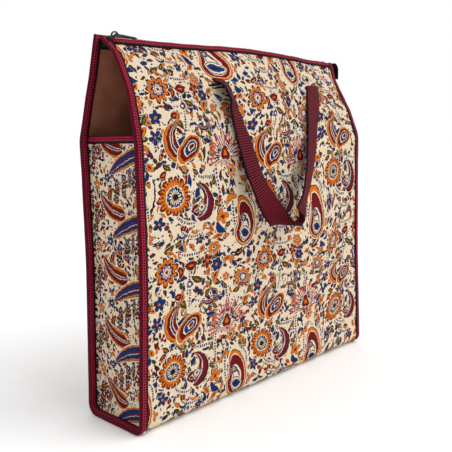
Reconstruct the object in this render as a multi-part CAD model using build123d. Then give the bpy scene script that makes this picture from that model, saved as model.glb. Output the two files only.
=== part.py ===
from build123d import *
import math
import os

# Tall cloth shopper with bound seams, open end gussets, a zip and two webbing handles.
# Millimetres. X runs along the width, +Y to the back, +Z up, origin under the middle of the base.

# bag body
base_width = 400.0
top_width = 379.0
bag_depth = 90.0
bag_height = 396.0
end_panel_height = 294.0
top_gap = 21.0
top_lean = 8.0
base_fold_radius = 10.0
shoulder_radius = 24.0

# cloth layers, from the outside in
print_thickness = 2.0
lining_thickness = 0.6
layer_gap = 0.1

# binding tape
tape_thickness = 0.9
rim_width = 10.0
top_binding_width = 9.0
end_binding_width = 7.5
rim_tail_length = 8.0

# zip
zip_drop = 3.5
zip_tape_thickness = 0.6
zip_tape_width = 15.0
zip_end_inset = 3.5
zip_channel = 1.0
coil_spine = 1.0
coil_tooth_length = 1.6
coil_tooth_width = 1.0
coil_pitch = 2.6
coil_height = 2.0
stop_length = 3.0
stop_clearance = 0.5
tongue_length = 30.0
tongue_bend_radius = 9.0
tuck_length = 8.0

# slider and pull
slider_length = 12.0
slider_width = 9.0
slider_plate = 1.0
slider_clearance = 0.3
slider_end_gap = 14.0
slider_corner = 2.7
flange_length = 7.2
neck_length = 3.0
neck_width = 0.5
crown_radius = 4.8
crown_bar = 1.4
crown_thickness = 1.6
pull_length = 26.0
pull_width = 6.5
pull_neck_width = 5.5
pull_head_width = 4.2
pull_tip_width = 3.2
pull_tip_taper = 3.0
pull_thickness = 1.2
pull_droop = 4.0
pull_bar_radius = 0.6
pull_eye_length = 5.4
pull_axis_height = 1.6

# handles
handle_spacing = 168.0
handle_offset = 36.0
handle_root_drop = 39.0
handle_drop = 164.0
loop_standoff = 24.0
loop_shift = 24.4
webbing_width = 25.0
webbing_thickness = 1.6
root_bar_radius = 1.2
root_bar_sides = 8
root_clearance = 0.3
slit_end_clearance = 1.0
leave_angle = 6.1
leave_length = 86.0
loop_flare = 0.734
loop_narrowing = 0.416
twist_start = 0.13
skew_share = 0.1
loop_sections = 9

# derived levels and stack depths
side_taper = (base_width - top_width) / 2 / bag_height
cloth_edge = tape_thickness + layer_gap
lining_inset = print_thickness + layer_gap
end_lining_inset = lining_inset + lining_thickness + layer_gap
end_print_inset = end_lining_inset + lining_thickness + layer_gap
low_leg_inset = end_print_inset + print_thickness + layer_gap
high_leg_inset = end_lining_inset
end_plane = rim_width + layer_gap
top_front_y = top_lean - top_gap / 2
top_back_y = top_lean + top_gap / 2
shoulder_rise = bag_height - end_panel_height
front_slope = (top_front_y + bag_depth / 2) / shoulder_rise
back_slope = (bag_depth / 2 - top_back_y) / shoulder_rise
handle_root_height = bag_height - handle_root_drop
handle_reach = bag_depth / 2 + loop_standoff
zip_level = bag_height - zip_drop
zip_half_length = base_width / 2 - side_taper * bag_height - zip_end_inset
slider_rest_x = slider_end_gap - zip_half_length
coil_outer = zip_channel / 2 + coil_tooth_length + coil_spine
slider_base = zip_level + zip_tape_thickness / 2 + coil_height + slider_clearance
slider_top = slider_base + slider_plate
side_names = ("left", "right")
side_sign = {"left": -1, "right": 1}


def save(node, shape):
    export_step(shape, f"parts/{node}.step")


# Section of the bag seen from its end, inset from the outer face of the printed cloth.
# It runs on above the top so that every inset layer can be cut off at its own height.
def section(inset):
    over = 5.0
    half = bag_depth / 2
    lower = [(-half, cloth_edge), (half, cloth_edge)]
    shoulders = [(half, end_panel_height), (-half, end_panel_height)]
    back_top = (top_back_y - back_slope * over, bag_height + over)
    front_top = (top_front_y + front_slope * over, bag_height + over)
    points = [lower[0], lower[1], shoulders[0], back_top, front_top, shoulders[1]]
    outline = make_face(Polyline(*points, close=True))
    folds = [v for v in outline.vertices() if v.Y < end_panel_height / 2]
    outline = fillet(folds, base_fold_radius)
    bends = [v for v in outline.vertices() if abs(v.Y - end_panel_height) < 0.01]
    outline = fillet(bends, shoulder_radius)
    if inset != 0:
        outline = offset(outline, amount=-inset, kind=Kind.INTERSECTION)
    return outline


def prism(inset):
    face = Plane.YZ.offset(-base_width) * section(inset)
    return extrude(face, amount=2 * base_width, dir=(1, 0, 0))


def shell_ring(outer_inset, thickness):
    return prism(outer_inset) - prism(outer_inset + thickness)


# Everything whose distance from either slanted side edge is at least the given one.
def between_edges(edge_distance):
    low = -10.0
    high = bag_height + 10.0
    low_half = base_width / 2 - side_taper * low - edge_distance
    high_half = base_width / 2 - side_taper * high - edge_distance
    corners = [(-low_half, low), (low_half, low), (high_half, high), (-high_half, high)]
    face = Plane.XZ.offset(-base_width) * make_face(Polyline(*corners, close=True))
    return extrude(face, amount=2 * base_width, dir=(0, -1, 0))


def edge_band(start, end):
    return between_edges(start) - between_edges(end)


def height_band(low, high):
    size = 3 * base_width
    return Pos(0, 0, (low + high) / 2) * Box(size, size, high - low)


def one_side(side):
    size = 2 * base_width
    return Pos(side_sign[side] * size / 2, 0, 0) * Box(size, size, 2 * size)


def half_side(sign, centre_y):
    size = 2 * base_width
    return Pos(0, centre_y + sign * size / 2, 0) * Box(size, size, 2 * size)


def slope_surface_y(sign, height):
    if sign < 0:
        return -bag_depth / 2 + front_slope * (height - end_panel_height)
    return bag_depth / 2 - back_slope * (height - end_panel_height)


def slope_angle(sign):
    return math.degrees(math.atan(front_slope if sign < 0 else back_slope))


# Hinge line of a handle: just outside the slit that the webbing comes out of.
def handle_axis(sign):
    lift = root_bar_radius + root_clearance
    angle = math.radians(slope_angle(sign))
    y = slope_surface_y(sign, handle_root_height) + sign * lift * math.cos(angle)
    return y, handle_root_height + lift * math.sin(angle)


def handle_root_x(end):
    return handle_offset + end * handle_spacing / 2


# Printed body cloth: front, base and back in one piece, with the four handle slits.
def body_panel():
    cloth_top = bag_height - cloth_edge
    cloth = shell_ring(0, print_thickness)
    cloth = cloth & between_edges(cloth_edge) & height_band(0, cloth_top)
    slit_height = 2 * (webbing_thickness / 2 + root_clearance)
    slit_width = webbing_width + 2 * slit_end_clearance
    for sign in (-1, 1):
        y = slope_surface_y(sign, handle_root_height)
        for end in (-1, 1):
            slit = Rot(-sign * slope_angle(sign), 0, 0) * Box(slit_width, 4 * print_thickness, slit_height)
            cloth -= Pos(handle_root_x(end), y, handle_root_height) * slit
    return cloth


def body_lining():
    cloth_top = bag_height - cloth_edge
    cloth = shell_ring(lining_inset, lining_thickness)
    return cloth & between_edges(cloth_edge) & height_band(0, cloth_top)


# End wall with its seam allowance turned out along the body cloth.
def end_tray(side, inset, thickness, wall_start):
    reach = wall_start + thickness
    tray = prism(inset) & edge_band(cloth_edge, reach)
    tray -= prism(inset + thickness) & edge_band(-rim_width, wall_start)
    return tray & height_band(0, end_panel_height) & one_side(side)


def end_panel(side):
    return end_tray(side, end_print_inset, print_thickness, end_plane)


def end_lining(side):
    wall_start = end_plane + print_thickness + layer_gap
    return end_tray(side, end_lining_inset, lining_thickness, wall_start)


# Tape folded over the seam from the front top corner, down, under the base and up the back.
def rim_binding(side):
    low_inner = low_leg_inset + tape_thickness
    high_inner = high_leg_inset + tape_thickness
    split = end_panel_height + layer_gap
    outer = -cloth_edge
    low = prism(outer) - prism(low_inner)
    low -= (prism(-layer_gap) - prism(low_leg_inset)) & between_edges(tape_thickness)
    high = prism(outer) - prism(high_inner)
    high -= (prism(-layer_gap) - prism(high_leg_inset)) & between_edges(tape_thickness)
    tape = (low & height_band(-cloth_edge, split)) + (high & height_band(split, bag_height - tape_thickness))
    tape = tape & edge_band(0, rim_width) & one_side(side)
    if side == "left":
        tape += rim_tail(side)
    return tape


# Loose end of the left tape, turned over the end of the zip.
def rim_tail(side):
    tail = prism(-cloth_edge) & height_band(bag_height - tape_thickness, bag_height)
    tail = tail & edge_band(0, rim_tail_length) & one_side(side)
    back_stop = top_back_y - 2 * tape_thickness - print_thickness - lining_thickness
    return tail & half_side(-1, back_stop)


# Tape folded over the top edge of the front or the back.
def top_binding(sign):
    inner = high_leg_inset + tape_thickness
    tape = prism(-cloth_edge) - prism(inner)
    cavity = (prism(-layer_gap) - prism(high_leg_inset)) & height_band(0, bag_height - tape_thickness)
    tape -= cavity
    tape = tape & height_band(bag_height - top_binding_width, bag_height)
    return tape & between_edges(end_plane) & half_side(sign, top_lean)


# Tape folded over the top edge of an end panel.
def end_top_binding(side):
    outer_start = end_plane - layer_gap - tape_thickness
    wall_end = end_plane + print_thickness + layer_gap + lining_thickness
    inner_end = wall_end + layer_gap + tape_thickness
    reach = low_leg_inset + tape_thickness + layer_gap
    top = end_panel_height + cloth_edge
    tape = prism(reach) & edge_band(outer_start, inner_end)
    tape = tape & height_band(top - end_binding_width, top)
    cavity = edge_band(end_plane - layer_gap, wall_end + layer_gap)
    tape -= cavity & height_band(0, end_panel_height + layer_gap)
    return tape & one_side(side)


# One zip tape: edge turned down inside the bag, left end tucked down, right end left as a tongue.
def zip_tape(sign):
    tuck_inset = high_leg_inset + tape_thickness + layer_gap
    flange = shell_ring(tuck_inset, zip_tape_thickness)
    flange = flange & height_band(bag_height - top_binding_width - zip_drop, zip_level)
    half_thickness = zip_tape_thickness / 2
    flat = prism(tuck_inset) & height_band(zip_level - half_thickness, zip_level + half_thickness)
    inner_edge = half_side(sign, top_lean + sign * zip_channel / 2)
    strip = (flange + flat) & inner_edge
    strip = strip & Box(2 * zip_half_length, 2 * base_width, 4 * bag_height)
    return strip + zip_tuck(sign) + zip_tongue(sign)


def zip_tuck(sign):
    width = coil_outer - zip_channel / 2
    centre_y = top_lean + sign * (zip_channel + width) / 2
    drop = Box(zip_tape_thickness, width, tuck_length)
    return Pos(-zip_half_length + zip_tape_thickness / 2, centre_y, zip_level - tuck_length / 2) * drop


def zip_tongue(sign):
    width = coil_outer - zip_channel / 2
    clear_x = base_width / 2 - side_taper * bag_height + layer_gap
    start = (zip_half_length - zip_tape_thickness, zip_level)
    bend = (clear_x + tongue_bend_radius, zip_level)
    tip = (bend[0], zip_level - tongue_length + tongue_bend_radius)
    path = FilletPolyline(start, bend, tip, radius=tongue_bend_radius)
    ribbon = Plane.XZ * trace(path, line_width=zip_tape_thickness)
    neck = extrude(ribbon, amount=width, dir=(0, sign, 0))
    neck = Pos(0, top_lean + sign * zip_channel / 2, 0) * neck
    wide = extrude(ribbon, amount=zip_tape_width, dir=(0, sign, 0))
    wide = Pos(0, top_lean + sign * zip_channel / 2, 0) * wide
    beyond = Pos(clear_x + base_width / 2, 0, 0) * Box(base_width, base_width, 4 * bag_height)
    return neck + (wide & beyond)


# One row of coil: a spine with teeth that face the channel of the slider's neck.
def zip_coil(sign):
    start = -zip_half_length + zip_end_inset
    count = int(2 * abs(start) // coil_pitch)
    length = count * coil_pitch
    spine_y = top_lean + sign * (zip_channel / 2 + coil_tooth_length + coil_spine / 2)
    tooth_y = top_lean + sign * (zip_channel / 2 + coil_tooth_length / 2)
    row = Pos(start + length / 2, spine_y) * Rectangle(length, coil_spine)
    first_x = start + coil_pitch / 4 * (1 + sign) + coil_tooth_width / 2
    tooth = Rectangle(coil_tooth_width, coil_tooth_length)
    row += [Pos(first_x + i * coil_pitch, tooth_y) * tooth for i in range(count)]
    base = zip_level + zip_tape_thickness / 2
    return Pos(0, 0, base) * extrude(row, amount=coil_height, dir=(0, 0, 1))


# Clamp over both rows of coil, at one end of the slider's travel.
def zip_stop(sign):
    x = sign * (slider_rest_x - slider_length / 2 - stop_clearance - stop_length / 2)
    coil_bottom = zip_level + zip_tape_thickness / 2
    coil_top = coil_bottom + coil_height
    bridge = Box(stop_length, 2 * coil_outer + 2 * zip_tape_thickness, zip_tape_thickness)
    clamp = Pos(x, top_lean, coil_top + zip_tape_thickness / 2) * bridge
    side_wall = Box(stop_length, zip_tape_thickness, coil_height)
    for side in (-1, 1):
        wall_y = top_lean + side * (coil_outer + zip_tape_thickness / 2)
        clamp += Pos(x, wall_y, coil_bottom + coil_height / 2) * side_wall
    return clamp


# Slider: two plates round the coil, joined by a thin neck, with a crown that holds the pull.
def zip_slider():
    plate_face = RectangleRounded(slider_length, slider_width, slider_corner)
    plate = extrude(plate_face, amount=slider_plate, dir=(0, 0, 1))
    lower_z = zip_level - zip_tape_thickness / 2 - slider_clearance - slider_plate
    body = Pos(0, 0, slider_base) * plate + Pos(0, 0, lower_z) * plate
    neck_height = slider_base - lower_z
    neck = Box(neck_length, neck_width, neck_height, align=(Align.CENTER, Align.CENTER, Align.MIN))
    body += Pos(slider_plate - (slider_length - neck_length) / 2, 0, lower_z) * neck
    flange_gap = coil_outer + slider_clearance
    flange_width = slider_width / 2 - flange_gap
    flange = Box(flange_length, flange_width, coil_height)
    flange_z = slider_base - coil_height / 2
    body += [Pos(0, s * (flange_gap + flange_width / 2), flange_z) * flange for s in (-1, 1)]
    ring = Circle(crown_radius) - Circle(crown_radius - crown_bar)
    ring = ring & Pos(0, crown_radius / 2) * Rectangle(2 * crown_radius, crown_radius)
    body += Pos(0, 0, slider_top) * extrude(Plane.XZ * ring, amount=crown_thickness / 2, both=True)
    return Pos(slider_rest_x, top_lean, 0) * body


def pull_axis():
    return slider_rest_x + pull_bar_radius + slider_clearance, slider_top + pull_axis_height


# Pull: a flat tab with an eye whose cross bar lies under the crown.
def zip_pull():
    profile = [
        (-pull_bar_radius, pull_head_width),
        (pull_eye_length, pull_neck_width),
        (pull_length - pull_tip_taper, pull_width),
        (pull_length, pull_tip_width),
    ]
    near_side = [(x, -width / 2) for x, width in profile]
    far_side = [(x, width / 2) for x, width in reversed(profile)]
    outline = make_face(Polyline(*near_side, *far_side, close=True))
    eye_length = pull_eye_length - pull_bar_radius
    eye_width = crown_thickness + 2 * slider_clearance
    eye = Pos(pull_bar_radius + eye_length / 2, 0) * Rectangle(eye_length, eye_width)
    tab = extrude(outline - eye, amount=pull_thickness / 2, both=True)
    x, z = pull_axis()
    return Pos(x, top_lean, z) * Rot(0, pull_droop, 0) * tab


# A point on one leg's centre line, from its root to the middle of the loop, as a cubic curve.
# The loop hangs a little to the left of its two roots.
def leg_point(sign, end, share):
    axis_y, axis_z = handle_axis(sign)
    angle = math.radians(slope_angle(sign) + leave_angle)
    reach = end * handle_spacing / 2
    loop_x = handle_offset - loop_shift
    leave_y = axis_y + sign * leave_length * math.sin(angle)
    loop_bottom = handle_root_height - handle_drop
    points = [
        (handle_root_x(end), axis_y, axis_z),
        (loop_x + loop_flare * reach, leave_y, axis_z - leave_length * math.cos(angle)),
        (loop_x + loop_narrowing * reach, sign * handle_reach, loop_bottom),
        (loop_x, sign * handle_reach, loop_bottom),
    ]
    weights = [
        (1 - share) ** 3,
        3 * (1 - share) ** 2 * share,
        3 * (1 - share) * share**2,
        share**3,
    ]
    return Vector(*[sum(w * p[axis] for w, p in zip(weights, points)) for axis in range(3)])


# Section plane at a place along the whole handle. The webbing lies flat on the bag at its
# roots, where its sections follow the slits, and turns on edge towards the bottom of the loop.
def strap_plane(sign, place):
    share = min(place, 2 - place)
    end = -1 if place <= 1 else 1
    step = 0.01
    nearer_root = leg_point(sign, end, max(share - step, 0))
    nearer_loop = leg_point(sign, end, min(share + step, 1))
    along = ((nearer_loop - nearer_root) * -end).normalized()
    if share == 1:
        along = Vector(1, 0, 0)
    turn_share = max((share - twist_start) / (1 - twist_start), 0)
    turn = math.pi / 2 * turn_share * turn_share * (3 - 2 * turn_share)
    across = Vector(end * math.cos(turn), -sign * math.sin(turn), 0)
    squared = min(share / skew_share, 1)
    across = (across - along * across.dot(along) * squared).normalized()
    normal = along.cross(across).normalized()
    centre = leg_point(sign, end, share)
    return Plane(origin=centre, x_dir=across, z_dir=across.cross(normal))


# Webbing handle: a flat strap that turns on edge at the bottom of its loop, with a rolled root.
def handle(sign):
    planes = [strap_plane(sign, i / loop_sections) for i in range(2 * loop_sections + 1)]
    cuts = [plane * Rectangle(webbing_width, webbing_thickness) for plane in planes]
    strap = loft([cut.face() for cut in cuts], ruled=True)
    y, z = handle_axis(sign)
    bar_face = Plane.YZ * RegularPolygon(root_bar_radius, root_bar_sides)
    root = extrude(bar_face, amount=webbing_width / 2, both=True)
    roots = [Pos(handle_root_x(end), y, z) * root for end in (-1, 1)]
    return strap + roots


os.makedirs("parts", exist_ok=True)

save("body_panel", body_panel())
save("body_lining", body_lining())
for side in side_names:
    save(f"{side}_end_panel", end_panel(side))
    save(f"{side}_end_lining", end_lining(side))
    save(f"{side}_rim_binding", rim_binding(side))
    save(f"{side}_end_top_binding", end_top_binding(side))
for name, sign in (("front", -1), ("back", 1)):
    save(f"{name}_top_binding", top_binding(sign))
    save(f"zip_{name}_tape", zip_tape(sign))
    save(f"zip_{name}_coil", zip_coil(sign))
    save(f"{name}_handle", handle(sign))
save("zip_top_stop", zip_stop(1))
save("zip_bottom_stop", zip_stop(-1))
save("zip_slider", zip_slider())
save("zip_pull", zip_pull())
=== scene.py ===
import bpy, bmesh, math
from mathutils import Vector, Matrix, noise


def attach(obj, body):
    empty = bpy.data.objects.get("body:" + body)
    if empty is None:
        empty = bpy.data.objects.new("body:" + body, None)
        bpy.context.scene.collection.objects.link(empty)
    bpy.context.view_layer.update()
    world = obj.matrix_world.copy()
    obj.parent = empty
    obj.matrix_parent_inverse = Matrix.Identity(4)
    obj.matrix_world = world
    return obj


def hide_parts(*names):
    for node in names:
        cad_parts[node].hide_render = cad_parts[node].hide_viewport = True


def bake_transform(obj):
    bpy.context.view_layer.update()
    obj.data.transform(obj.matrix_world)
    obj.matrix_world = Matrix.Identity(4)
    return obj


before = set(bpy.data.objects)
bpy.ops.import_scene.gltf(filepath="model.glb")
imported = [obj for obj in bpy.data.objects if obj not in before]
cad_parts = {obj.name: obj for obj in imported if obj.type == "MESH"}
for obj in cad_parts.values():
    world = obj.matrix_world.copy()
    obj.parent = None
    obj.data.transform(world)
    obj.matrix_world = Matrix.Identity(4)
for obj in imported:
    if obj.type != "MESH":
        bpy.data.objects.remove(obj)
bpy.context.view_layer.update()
print("frame loaded")

# Sizes, in metres
bag = {
    "baseWidth": 0.400,
    "topWidth": 0.379,
    "depth": 0.090,
    "height": 0.396,
    "shoulder": 0.294,
    "frontTop": -0.0025,
    "backTop": 0.0185,
    "foldRadius": 0.012,
    "shoulderRadius": 0.040,
    "stand": 0.001,            # cloth base above the floor, on the bound seams
}
taper = (bag["baseWidth"] - bag["topWidth"]) / 2 / bag["height"]


def smooth(value, low, high):
    share = min(max((value - low) / (high - low), 0), 1)
    return share * share * (3 - 2 * share)


# Outline of the bag seen from its end: list of (y, z, outward y, outward z, length so far).
def roundedPath(corners, radii, arcSteps, lineStep):
    bends = [Vector(corners[0])]
    for before, corner, after, radius in zip(corners, corners[1:], corners[2:], radii):
        a, b, c = Vector(before), Vector(corner), Vector(after)
        inDir, outDir = (b - a).normalized(), (c - b).normalized()
        turn = inDir.angle_signed(outDir)
        reach = radius * math.tan(abs(turn) / 2)
        start = b - inDir * reach
        sideways = Vector((-inDir.y, inDir.x)) * (-1 if turn > 0 else 1)
        centre = start + sideways * radius
        for i in range(arcSteps + 1):
            swung = start - centre
            swung.rotate(Matrix.Rotation(-turn * i / arcSteps, 2))
            bends.append(centre + swung)
    bends.append(Vector(corners[-1]))
    points = [bends[0]]
    for a, b in zip(bends, bends[1:]):
        steps = max(1, round((b - a).length / lineStep))
        points += [a.lerp(b, i / steps) for i in range(1, steps + 1) if (b - a).length > 1e-6]
    path, run = [], 0.0
    for i, point in enumerate(points):
        ahead = (points[min(i + 1, len(points) - 1)] - points[max(i - 1, 0)]).normalized()
        if i:
            run += (point - points[i - 1]).length
        path.append((point.x, point.y, ahead.y, -ahead.x, run))
    return path


half = bag["depth"] / 2
outline = roundedPath(
    [(bag["frontTop"], bag["height"]), (-half, bag["shoulder"]), (-half, bag["stand"]),
     (half, bag["stand"]), (half, bag["shoulder"]), (bag["backTop"], bag["height"])],
    [bag["shoulderRadius"], bag["foldRadius"], bag["foldRadius"], bag["shoulderRadius"]], 8, 0.0042)
baseStart = next(p[4] for p in outline if p[1] < bag["stand"] + 1e-5)


def halfWidth(z):
    return bag["baseWidth"] / 2 - taper * z


# How the cloth stands. The lists are curves in millimetres, and a span says where a change starts and ends.
stance = {
    # height of the front top edge over the level one, along the bag
    "frontArch": [(-190, -2.0), (-180, -3.3), (-136, -2.5), (-101, -1.5), (-64, -0.3), (-24, 1.6), (19, 2.4),
                  (56, 1.8), (96, 0.4), (139, -2.0), (174, -2.7), (190, -3.0)],
    "backLift": 0.0018,
    "belly": 0.0022,
    "ripple": 0.0011,
    "ripples": [(11, 9, 3.1), (10, 10, 8.7)],  # front and back: waves a metre along and up, and a seed
    "rimBow": 0.0030,
    "backBow": 0.4,            # of the front one
    "flatEnd": 0.19,
    # how far the front slope leans back, up the bag: at its left end, in the middle and at its right end
    "leftBulge": [(294, 0), (308, -2.0), (321, -4.2), (336, -6.5), (348, -7.1), (359, -6.0), (371, -5.0),
                  (380, -2.8), (386, 0), (396, 0)],
    "leftCurl": [(380, 0), (387, 2.5), (393, 7.3), (396, 9.5)],
    "middleBulge": [(294, 0), (320, -2.0), (345, -2.8), (375, -1.2), (390, 0)],
    "rightLean": [(294, 0), (328, -1.0), (342, 0.4), (354.5, 1.0), (373, 1.2), (390, 0.2)],
    "rightCurl": [(345, 0), (364, 1.4), (374, 2.2), (386, 0.8), (392, 0)],
    "backBulge": [(150, 0), (250, 2.0), (294, 3.5), (330, 2.0), (360, 0)],
    # from the back cloth to the front one, as shares
    "frontSpan": (0.15, 0.8),
    # up the bag
    "footSpan": (0.0, 0.05),
    "topSpan": (0.31, 0.394),
    "slopeSpan": (0.30, 0.39),
    # along the bag
    "endSpan": (0.12, 0.19),
    "leftSpan": (-0.185, -0.06),
    "rightSpan": (0.06, 0.17),
    "leftTip": (-0.188, -0.174),
    "rightTip": (0.176, 0.187),
    "backSpan": (-0.19, -0.10),
}


def curveAt(points, x):
    if x <= points[0][0]:
        return points[0][1]
    for (x0, y0), (x1, y1) in zip(points, points[1:]):
        if x <= x1:
            return y0 + (y1 - y0) * smooth(x, x0, x1)
    return points[-1][1]


# 0 at both ends and 1 in the middle
def archAt(share):
    return math.sin(math.pi * min(max(share, 0), 1))


# Moves a point of any cloth layer the way the standing bag has settled.
def settle(point):
    def past(name, value):
        return smooth(value, *stance[name])

    def curve(name, value):
        return curveAt(stance[name], value * 1000) / 1000

    x, y, z = point
    rise = max(z - bag["shoulder"], 0) / (bag["height"] - bag["shoulder"])
    front = -half + (half + bag["frontTop"]) * rise
    back = half - (half - bag["backTop"]) * rise
    frontShare = past("frontSpan", (back - y) / (back - front))
    backShare = 1 - frontShare
    dz = past("topSpan", z) * (frontShare * curve("frontArch", x) + backShare * stance["backLift"])
    low = 1 - past("slopeSpan", z)
    flatness = (1 - min(abs(x) / stance["flatEnd"], 1) ** 4) * low
    swell = stance["belly"] * flatness * archAt(z / stance["slopeSpan"][0])
    frontRipple, backRipple = (stance["ripple"] * noise.noise((x * along, z * up, seed)) * past("footSpan", z)
                               for along, up, seed in stance["ripples"])
    dy = -frontShare * (swell + frontRipple) + backShare * (swell + backRipple)
    bow = stance["rimBow"] * archAt(z / bag["shoulder"]) * low * past("endSpan", abs(x))
    dx = -math.copysign(bow * (stance["backBow"] + (1 - stance["backBow"]) * frontShare), x)
    leftShare, rightShare = 1 - past("leftSpan", x), past("rightSpan", x)
    dy += frontShare * (curve("leftBulge", z) * leftShare + curve("rightLean", z) * rightShare
                        + curve("middleBulge", z) * (1 - leftShare) * (1 - rightShare)
                        + curve("leftCurl", z) * (1 - past("leftTip", x))
                        + curve("rightCurl", z) * past("rightTip", x))
    dy += backShare * curve("backBulge", z) * (1 - past("backSpan", x))
    return Vector((x + dx, y + dy, z + dz))


# Mesh helpers
def linked(name, data):
    made = bpy.data.objects.new(name, data)
    bpy.context.scene.collection.objects.link(made)
    return made


def newMesh(name, bm, material, body="bag"):
    mesh = bpy.data.meshes.new(name)
    bm.to_mesh(mesh)
    bm.free()
    for face in mesh.polygons:
        face.use_smooth = True
    mesh.materials.append(material)
    piece = linked(name, mesh)
    if body:
        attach(piece, body)
    return piece


# A flat grid of columns x rows, laid into place by place(column, row) -> (point, (u, v)).
# Its faces are turned to look along outward(middle of the face).
def laidGrid(columns, rows, place, outward):
    bm = bmesh.new()
    bmesh.ops.create_grid(bm, x_segments=columns, y_segments=rows, size=1.0)
    uvLayer = bm.loops.layers.uv.new("flat")
    spots = {}
    for vert in bm.verts:
        spots[vert] = place(round((vert.co.x + 1) / 2 * columns), round((vert.co.y + 1) / 2 * rows))
    for face in bm.faces:
        for loop in face.loops:
            loop[uvLayer].uv = spots[loop.vert][1]
    for vert, (point, _) in spots.items():
        vert.co = point
    bm.normal_update()
    if sum(face.normal.dot(outward(face.calc_center_median())) * face.calc_area() for face in bm.faces) < 0:
        bmesh.ops.reverse_faces(bm, faces=bm.faces)
        bm.normal_update()
    return bm


# Gives a piece its thickness, and hides the CAD solid that it stands for.
def dress(piece, thickness, offset, replaced):
    solid = piece.modifiers.new("thickness", "SOLIDIFY")
    solid.thickness = thickness
    solid.offset = offset
    solid.use_even_offset = False
    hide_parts(replaced)


bagMiddle = Vector((0, 0.004, 0.18))


def fromMiddle(point):
    return Vector((0, point.y, point.z)) - bagMiddle


# Shader helper: wraps a socket, so that its maths is written as Python expressions.
class Wire:
    def __init__(self, tree, socket):
        self.tree, self.socket = tree, socket

    # Values go to the sockets in order, and inputs to sockets by name or, as in i6, by number.
    def node(self, kind, settings=None, *values, **inputs):
        made = self.tree.nodes.new("ShaderNode" + kind)
        for key, value in (settings or {}).items():
            if key == "stops":
                elements = made.color_ramp.elements
                while len(elements) < len(value):
                    elements.new(1.0)
                for element, (place, colour) in zip(elements, value):
                    element.position = place
                    element.color = colour
            elif key == "ease":
                made.color_ramp.interpolation = value
            elif key == "curve":
                made.mapping.extend = "HORIZONTAL"
                line = made.mapping.curves[0]
                for place, height in value[1:-1]:
                    line.points.new(place, height)
                line.points[0].location = value[0]
                line.points[-1].location = value[-1]
                made.mapping.update()
            else:
                setattr(made, key, value)
        for key, value in [*enumerate(values), *inputs.items()]:
            target = made.inputs[int(key[1:]) if str(key)[1:].isdigit() else key]
            if isinstance(value, Wire):
                self.tree.links.new(value.socket, target)
            else:
                target.default_value = value
        return made

    def out(self, made, which=0):
        return Wire(self.tree, made.outputs[which])

    def maths(self, operation, *values):
        return self.out(self.node("Math", {"operation": operation}, *values))

    def __add__(self, other): return self.maths("ADD", self, other)
    def __radd__(self, other): return self.maths("ADD", other, self)
    def __sub__(self, other): return self.maths("SUBTRACT", self, other)
    def __rsub__(self, other): return self.maths("SUBTRACT", other, self)
    def __mul__(self, other): return self.maths("MULTIPLY", self, other)
    def __rmul__(self, other): return self.maths("MULTIPLY", other, self)
    def __truediv__(self, other): return self.maths("DIVIDE", self, other)
    def __pow__(self, other): return self.maths("POWER", self, other)
    def __lt__(self, other): return self.maths("LESS_THAN", self, other)
    def __gt__(self, other): return self.maths("GREATER_THAN", self, other)
    def __abs__(self): return self.maths("ABSOLUTE", self)

    def fraction(self): return self.maths("FRACT", self)
    def sine(self): return self.maths("SINE", self)
    def waves(self, pitch): return (self * (2 * math.pi / pitch)).sine()
    def ribs(self, pitch): return self.waves(pitch) * 0.5 + 0.5

    def ramp(self, stops, ease="CONSTANT"):
        made = self.node("ValToRGB", {"ease": ease, "stops": stops}, Fac=self)
        return self.out(made, 0), self.out(made, 1)

    # one colour up to low, another from high
    def fade(self, low, first, high, last, ease="LINEAR"):
        return self.ramp([(low, first), (high, last)], ease)[0]

    def curve(self, points):
        return self.out(self.node("FloatCurve", {"curve": points}, Value=self))

    # this colour with another laid over it, or multiplied into it, where the mask is 1
    def under(self, colour, mask, blend="MIX"):
        return self.out(self.node("Mix", {"data_type": "RGBA", "blend_type": blend}, mask, i6=self, i7=colour), 2)

    def vector(self, operation, *values):
        made = self.node("VectorMath", {"operation": operation}, *values)
        return self.out(made, "Value" if operation == "DOT_PRODUCT" else "Vector")

    def scaled(self, factor):
        return self.out(self.node("VectorMath", {"operation": "SCALE"}, self, i3=factor))

    def split(self):
        made = self.node("SeparateXYZ", None, self)
        return self.out(made, 0), self.out(made, 1), self.out(made, 2)

    def noise(self, scale, detail=2.0, which=0, dimensions="3D"):
        made = self.node("TexNoise", {"noise_dimensions": dimensions}, Vector=self, Scale=scale, Detail=detail)
        return self.out(made, which)

    def flatMap(self):
        return self.out(self.node("UVMap", {"uv_map": "flat"}))

    def objectPlace(self):
        return self.out(self.node("TexCoord"), 3)


# build(wire, surface) makes the nodes behind the surface.
def newMaterial(name, build):
    material = bpy.data.materials.new(name)
    material.use_nodes = True
    tree = material.node_tree
    tree.nodes.clear()
    output = tree.nodes.new("ShaderNodeOutputMaterial")
    surface = tree.nodes.new("ShaderNodeBsdfPrincipled")
    tree.links.new(surface.outputs[0], output.inputs[0])
    build(Wire(tree, None), surface)
    return material


def finish(surface, colour, roughness, height=None, distance=0.0002, strength=1.0, gloss=None):
    links = colour.tree.links
    links.new(colour.socket, surface.inputs["Base Color"])
    if isinstance(roughness, Wire):
        links.new(roughness.socket, surface.inputs["Roughness"])
    else:
        surface.inputs["Roughness"].default_value = roughness
    if height is not None:
        bump = colour.node("Bump", Strength=strength, Distance=distance, Height=height)
        links.new(bump.outputs[0], surface.inputs["Normal"])
    if gloss is not None:
        surface.inputs["Specular IOR Level"].default_value = gloss


def shade(red, green, blue):
    def linear(value):
        value /= 255
        return value / 12.92 if value <= 0.04045 else ((value + 0.055) / 1.055) ** 2.4
    return (linear(red), linear(green), linear(blue), 1.0)


def grey(value):
    return (value, value, value, 1.0)


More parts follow.
